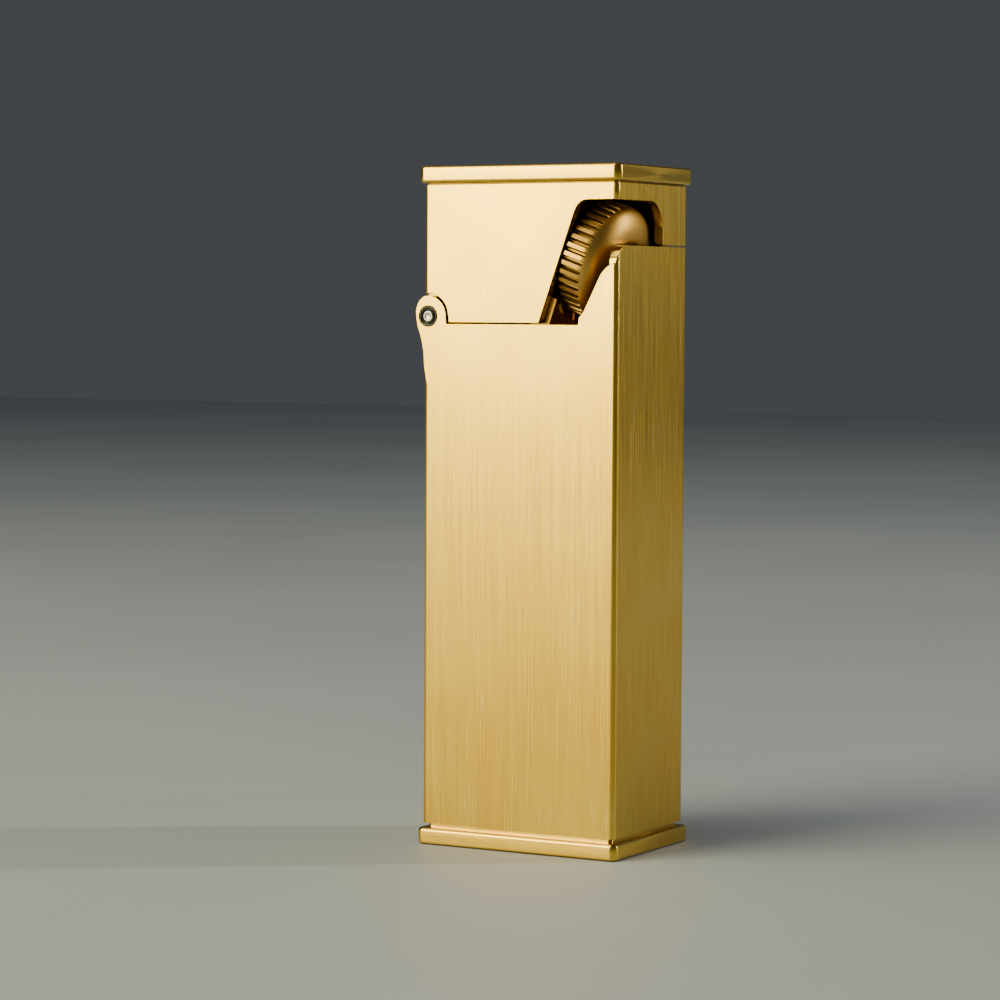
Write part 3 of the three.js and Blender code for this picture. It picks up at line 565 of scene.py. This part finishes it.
def ribbed_wheel(name, profile, ribs, rib_shape):
    """A closed ring with ribs. profile lists (along, radius, rib height).

    rib_shape lists (share of the pitch, height from 0 to 1).
    """
    angles = [(rib + share) / ribs * 2 * math.pi for rib in range(ribs) for share, height in rib_shape]
    heights = [height for rib in range(ribs) for share, height in rib_shape]
    points = [on_axle(along, radius + rise * height, angle)
              for along, radius, rise in profile for angle, height in zip(angles, heights)]
    around = len(angles)
    faces = []
    for row in range(len(profile)):
        below = (row + 1) % len(profile) * around
        for column in range(around):
            after = (column + 1) % around
            faces.append((row * around + column, row * around + after, below + after, below + column))
    piece = plain_mesh(name, points, faces)
    for face in piece.data.polygons:
        face.use_smooth = True
    piece.data.set_sharp_from_angle(angle=math.radians(RIB_SHARP_ANGLE))
    even = piece.modifiers.new("even shading", "WEIGHTED_NORMAL")
    even.keep_sharp = True
    return piece


def arc(centre_along, centre_radius, half_along, half_radius, start, stop, steps):
    """Profile points on an oval arc, angles in degrees: 0 is outwards along the axle, 90 away from it."""
    turns = [math.radians(start + (stop - start) * i / steps) for i in range(steps + 1)]
    return [(centre_along + half_along * math.cos(turn), centre_radius + half_radius * math.sin(turn), 0.0)
            for turn in turns]


print("axle leans", round(math.degrees(math.asin(-axle_way.z)), 1), "degrees down to the right")

# %% [markdown]
# The roller is one turning of brass. Its profile is followed along the axle from the inner face to the
# tip: a straight rim that carries the ribs, an oval bulge, and a recess that the axle screw sits in. The
# slots between the ribs run a little way onto the bulge and end there. They are deepest in the middle, so
# that each one reads as a dark line.

# %% The roller
ROLLER_RIBS = 40
RIB_HEIGHT = 0.42 * MM
RIB_EASE = 0.05 * MM
bore = 0.86 * MM
inner, tip, rim = along_axle("roller_wheel")
root = rim - RIB_HEIGHT
bulge_from = tip - 1.82 * MM
slot_end = tip - 1.52 * MM
tip_radius = 2.7 * MM
recess_radius = 1.8 * MM
recess = tip - 1.22 * MM
bulge = arc(bulge_from, tip_radius, tip - bulge_from, rim - tip_radius, 90, 0, 26)
roller_profile = [
    (inner, bore + RIB_EASE, 0), (inner, root - 0.5 * MM, 0), (inner, root - 2 * RIB_EASE, 0),
    (inner + 0.01 * MM, root - RIB_EASE, RIB_EASE), (inner + 0.03 * MM, root, RIB_HEIGHT - 0.1 * MM),
    (inner + 0.09 * MM, root, RIB_HEIGHT - 0.03 * MM), (inner + 0.16 * MM, root, RIB_HEIGHT),
    (inner + 0.26 * MM, root, RIB_HEIGHT), (bulge_from - 0.4 * MM, root, RIB_HEIGHT)]
roller_profile += [(along, root, radius - root) for along, radius, _ in bulge if along < slot_end - 0.04 * MM]
roller_profile += [(along, radius, 0) for along, radius, _ in bulge if along > slot_end + 0.04 * MM]
roller_profile += [
    (tip - 0.03 * MM, tip_radius - 0.25 * MM, 0), (tip - 0.12 * MM, recess_radius + 0.3 * MM, 0),
    (tip - 0.3 * MM, recess_radius + 0.06 * MM, 0), (tip - 0.5 * MM, recess_radius, 0),
    (recess + RIB_EASE, recess_radius, 0), (recess, recess_radius - RIB_EASE, 0),
    (recess, bore + RIB_EASE, 0), (recess - RIB_EASE, bore, 0), (inner + RIB_EASE, bore, 0)]
ROLLER_RIB = [(0.0, 0.0), (0.03, 0.8), (0.07, 1.0), (0.2, 1.0), (0.4, 1.0), (0.5, 1.0), (0.54, 0.8),
              (0.58, 0.0), (0.7, -0.2), (0.88, -0.2)]
finish_piece(ribbed_wheel("ribbed_roller", roller_profile, ROLLER_RIBS, ROLLER_RIB), "roller_wheel",
             roller_brass)
print("roller: rim radius", round(rim / MM, 2), "mm, width", round((tip - inner) / MM, 2), "mm")

# %% [markdown]
# The spark wheel is hardened steel. Its teeth are cut fine and sharp, each with one steep side, so that
# they shave the flint in one direction only. It hides behind the carrier and shows when the lid is open.

# %% The spark wheel
TEETH = 44
TOOTH = 0.22 * MM
spark_from, spark_to, spark_rim = along_axle("spark_wheel")
spark_root = spark_rim - TOOTH
spark_profile = [
    (spark_from, bore + RIB_EASE, 0), (spark_from, spark_root - 0.3 * MM, 0), (spark_from, spark_root, 0),
    (spark_from + 0.06 * MM, spark_root, TOOTH * 0.8), (spark_from + 0.12 * MM, spark_root, TOOTH),
    (spark_to - 0.12 * MM, spark_root, TOOTH), (spark_to - 0.06 * MM, spark_root, TOOTH * 0.8),
    (spark_to, spark_root, 0), (spark_to, spark_root - 0.3 * MM, 0), (spark_to, bore + RIB_EASE, 0),
    (spark_to - RIB_EASE, bore, 0), (spark_from + RIB_EASE, bore, 0)]
SAW_TOOTH = [(0.0, 0.0), (0.08, 0.9), (0.14, 1.0), (0.3, 0.9), (0.75, 0.12), (0.9, 0.0)]
finish_piece(ribbed_wheel("spark_wheel_cut", spark_profile, TEETH, SAW_TOOTH), "spark_wheel",
             tool_steel)
print("spark wheel:", TEETH, "teeth,", round(spark_rim * 2 / MM, 2), "mm across")

# %% [markdown]
# ## Coil springs
# Each spring is round drawn wire, wound with open turns and closed flat at both ends so that it stands
# straight. A curve with a round bevel would draw it too. Here the wire's points are placed one by one,
# because the first and last turn have to flatten out. Three of them are squeezed from below by a piece that
# moves, and each of these is given a mesh of its own.

# %% Springs
WIRE_SIDES = 10
STEPS_PER_TURN = 28


def coil_spring(node, turns, wire):
    """A spring of round wire that fills the same space as a model node."""
    low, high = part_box(node)
    centre = (low + high) / 2
    radius = (high.y - low.y) / 2 - wire
    bottom, top = low.z + wire, high.z - wire
    closed = 2 * wire
    steps = int((turns + 2) * STEPS_PER_TURN)
    points = []
    for i in range(steps + 1):
        turn = i / STEPS_PER_TURN
        if turn < 1:
            z = bottom + closed * turn
        elif turn > turns + 1:
            z = top - closed * (turns + 2 - turn)
        else:
            z = bottom + closed + (top - bottom - 2 * closed) * (turn - 1) / turns
        angle = turn * 2 * math.pi
        out = Vector((math.cos(angle), math.sin(angle), 0))
        for side in range(WIRE_SIDES):
            lean = side / WIRE_SIDES * 2 * math.pi
            points.append(Vector((centre.x, centre.y, z)) + out * (radius + wire * math.cos(lean))
                          + Vector((0, 0, wire * math.sin(lean))))
    faces = [(i * WIRE_SIDES + side, i * WIRE_SIDES + (side + 1) % WIRE_SIDES,
              (i + 1) * WIRE_SIDES + (side + 1) % WIRE_SIDES, (i + 1) * WIRE_SIDES + side)
             for i in range(steps) for side in range(WIRE_SIDES)]
    faces.append(tuple(range(WIRE_SIDES)))
    faces.append(tuple(steps * WIRE_SIDES + side for side in reversed(range(WIRE_SIDES))))
    piece = plain_mesh("coil_" + node, points, faces)
    for face in piece.data.polygons:
        face.use_smooth = True
    return finish_piece(piece, node, spring_steel)


for spring, turns, wire, joint in (
        ("filler_valve_spring", 5, 0.12, "filler_press"), ("nozzle_spring", 5, 0.12, "nozzle_lift"),
        ("snuffer_spring", 4, 0.14, "snuffer_press"), ("flint_spring", 22, 0.13, None)):
    piece = coil_spring(spring, turns, wire * MM)
    if joint:
        low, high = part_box(spring)
        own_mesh(piece)
print("the wire has", WIRE_SIDES, "sides and", STEPS_PER_TURN, "steps to a turn")

# %% [markdown]
# ## The hinge
# A steel pin runs through both ears of the case and through the lid's barrel. Where it comes out it is
# turned with a shallow dish and a rounded rim, and a black bush sits round it so that steel doesn't wear
# on brass. The bush is cupped like a small washer, and its sloping lip is what catches a thin crescent of
# light.

# %% Turned pieces
TURNED_SIDES = 64
TURNED_SHARP_ANGLE = 50.0


def turned_piece(name, centre, way, profile):
    """A closed turned piece. profile lists (along, radius), from axis to axis or in a closed loop."""
    way = Vector(way).normalized()
    side = way.cross(Vector((0, 1, 0)) if abs(way.y) < 0.9 else Vector((1, 0, 0))).normalized()
    rise = way.cross(side)
    work = bmesh.new()
    rings = []
    for along, radius in profile:
        if radius == 0:
            rings.append([work.verts.new(Vector(centre) + along * way)])
            continue
        turns = [i / TURNED_SIDES * 2 * math.pi for i in range(TURNED_SIDES)]
        spokes = [math.cos(t) * side + math.sin(t) * rise for t in turns]
        rings.append([work.verts.new(Vector(centre) + along * way + radius * spoke) for spoke in spokes])
    open_profile = profile[0][1] == 0 and profile[-1][1] == 0
    for row in range(len(rings) - (1 if open_profile else 0)):
        first, second = rings[row], rings[(row + 1) % len(rings)]
        for i in range(TURNED_SIDES):
            after = (i + 1) % TURNED_SIDES
            corners = [first[i % len(first)], first[after % len(first)],
                       second[after % len(second)], second[i % len(second)]]
            work.faces.new(list(dict.fromkeys(corners)))
    bmesh.ops.recalc_face_normals(work, faces=work.faces)
    mesh = bpy.data.meshes.new(name)
    for face in work.faces:
        face.smooth = True
    work.to_mesh(mesh)
    work.free()
    mesh.set_sharp_from_angle(angle=math.radians(TURNED_SHARP_ANGLE))
    piece = bpy.data.objects.new(name, mesh)
    bpy.context.scene.collection.objects.link(piece)
    return piece


print("a turned piece has", TURNED_SIDES, "sides")

# %% [markdown]
# The pin and both bushes are turned from profiles that are measured from the model's own boxes. A boolean
# cut would make the dish too, but a profile keeps its lip round.

# %% Hinge pin and bushes
pin_low, pin_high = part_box("hinge_pin")
pin_middle = (pin_low + pin_high) / 2
pin_half = (pin_high.y - pin_low.y) / 2
PIN_RADIUS = (pin_high.z - pin_low.z) / 2
DISH = 0.07 * MM
DISH_RADIUS = 0.30 * MM
pin_end = [
    (pin_half - DISH, 0), (pin_half - DISH, DISH_RADIUS - 0.05 * MM), (pin_half - 0.04 * MM, DISH_RADIUS),
    (pin_half - 0.005 * MM, DISH_RADIUS + 0.04 * MM), (pin_half, PIN_RADIUS - 0.12 * MM),
    (pin_half - 0.015 * MM, PIN_RADIUS - 0.06 * MM), (pin_half - 0.06 * MM, PIN_RADIUS - 0.015 * MM),
    (pin_half - 0.12 * MM, PIN_RADIUS)]
pin_profile = pin_end + [(-along, radius) for along, radius in reversed(pin_end)]
finish_piece(turned_piece("hinge_pin_turned", pin_middle, (0, 1, 0), pin_profile), "hinge_pin",
             bright_steel)

for node, outward in (("hinge_bush_front", -1), ("hinge_bush_back", 1)):
    low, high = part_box(node)
    depth = high.y - low.y
    bush_radius = (high.z - low.z) / 2
    bush_bore = PIN_RADIUS + 0.03 * MM
    face = depth / 2
    bush_profile = [
        (-face, bush_bore), (-face, bush_radius - 0.04 * MM), (-face + 0.04 * MM, bush_radius),
        (face - 0.1 * MM, bush_radius), (face - 0.03 * MM, bush_radius - 0.025 * MM),
        (face, bush_radius - 0.08 * MM), (face - 0.02 * MM, bush_radius - 0.15 * MM),
        (face - 0.17 * MM, bush_bore + 0.12 * MM), (face - 0.2 * MM, bush_bore + 0.05 * MM),
        (face - 0.22 * MM, bush_bore)]
    finish_piece(turned_piece(node + "_cupped", (low + high) / 2, (0, outward, 0), bush_profile), node,
                 blacked_steel)
print("hinge pin:", round(PIN_RADIUS * 2 / MM, 2), "mm across,", round(pin_half * 2 / MM, 2), "mm long")

# %% [markdown]
# ## Everything inside
# The rest hides in the case and shows when the lid is up or the lighter is turned over: the tank, the two
# valves, the flint works, the carrier that holds the wheels, and the snuffer in the lid. Their model
# shapes are already right, so each only gets its material and eased edges, by as much as its size allows.
# Some of their round corners are built of three flats, which meet at about 30 degrees, so only edges
# sharper than 35 degrees are eased.

# %% Finish the inner pieces
INNER_ANGLE = 35.0
inner_pieces = [
    ("tank_shell", 0.08, tank_brass, "inner_brass"),
    ("tank_bottom", 0.05, tank_brass, "inner_brass"),
    ("filler_valve_body", 0.04, turned_brass, "inner_brass"),
    ("filler_valve_stem", 0.04, turned_brass, "inner_brass"),
    ("flame_adjuster", 0.03, turned_brass, "inner_brass"),
    ("burner_valve_body", 0.05, turned_brass, "inner_brass"),
    ("burner_nozzle", 0.04, turned_brass, "inner_brass"),
    ("flint_tube", 0.03, turned_brass, "inner_brass"),
    ("flint_screw", 0.05, turned_brass, "inner_brass"),
    ("flint_pusher", 0.04, turned_brass, "inner_brass"),
    ("wheel_carrier", 0.05, carrier_brass, "inner_brass"),
    ("axle_bush", 0.02, turned_brass, "inner_brass"),
    ("snuffer_housing", 0.05, turned_brass, "inner_brass"),
    ("snuffer_cap", 0.05, turned_brass, "inner_brass"),
    ("carrier_screw_1", 0.03, bright_steel, "steel"),
    ("carrier_screw_2", 0.03, bright_steel, "steel"),
    ("valve_lever", 0.04, bright_steel, "steel"),
    ("lever_pin", 0.04, bright_steel, "steel"),
    ("lid_cam_spring", 0.04, spring_steel, "steel"),
    ("roller_axle", 0.04, bright_steel, "steel"),
    ("axle_screw", 0.04, bright_steel, "steel"),
    ("snuffer_seal", 0.06, nitrile, "rubber"),
    ("flint", 0.06, flint_alloy, "flint"),
    ("gas_filter", 0.08, wool_felt, "felt"),
]
for node, edge, material, slot in inner_pieces:
    finish_piece(eased_copy(node, edge * MM, INNER_ANGLE, INNER_ANGLE), node, material)
left = set(nodes) - {o.get("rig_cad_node") for o in bpy.data.objects if o.hide_render}
print("inner pieces:", len(inner_pieces), " model nodes still to dress:", sorted(left))

# %% [markdown]
# ## Measure and finish
# The dressed lighter must still fit the model's box, because anything that stands out of it would touch
# something it shouldn't. The model's box is printed at the start, and here how far each corner of the
# dressed lighter's box lies from it.

# %% Measure the sizes and finish
visual_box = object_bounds()
growth = [[round((v - c) / MM, 3) for v, c in zip(*pair)] for pair in zip(visual_box, cad_box)]
print("grew by, in mm:", growth)
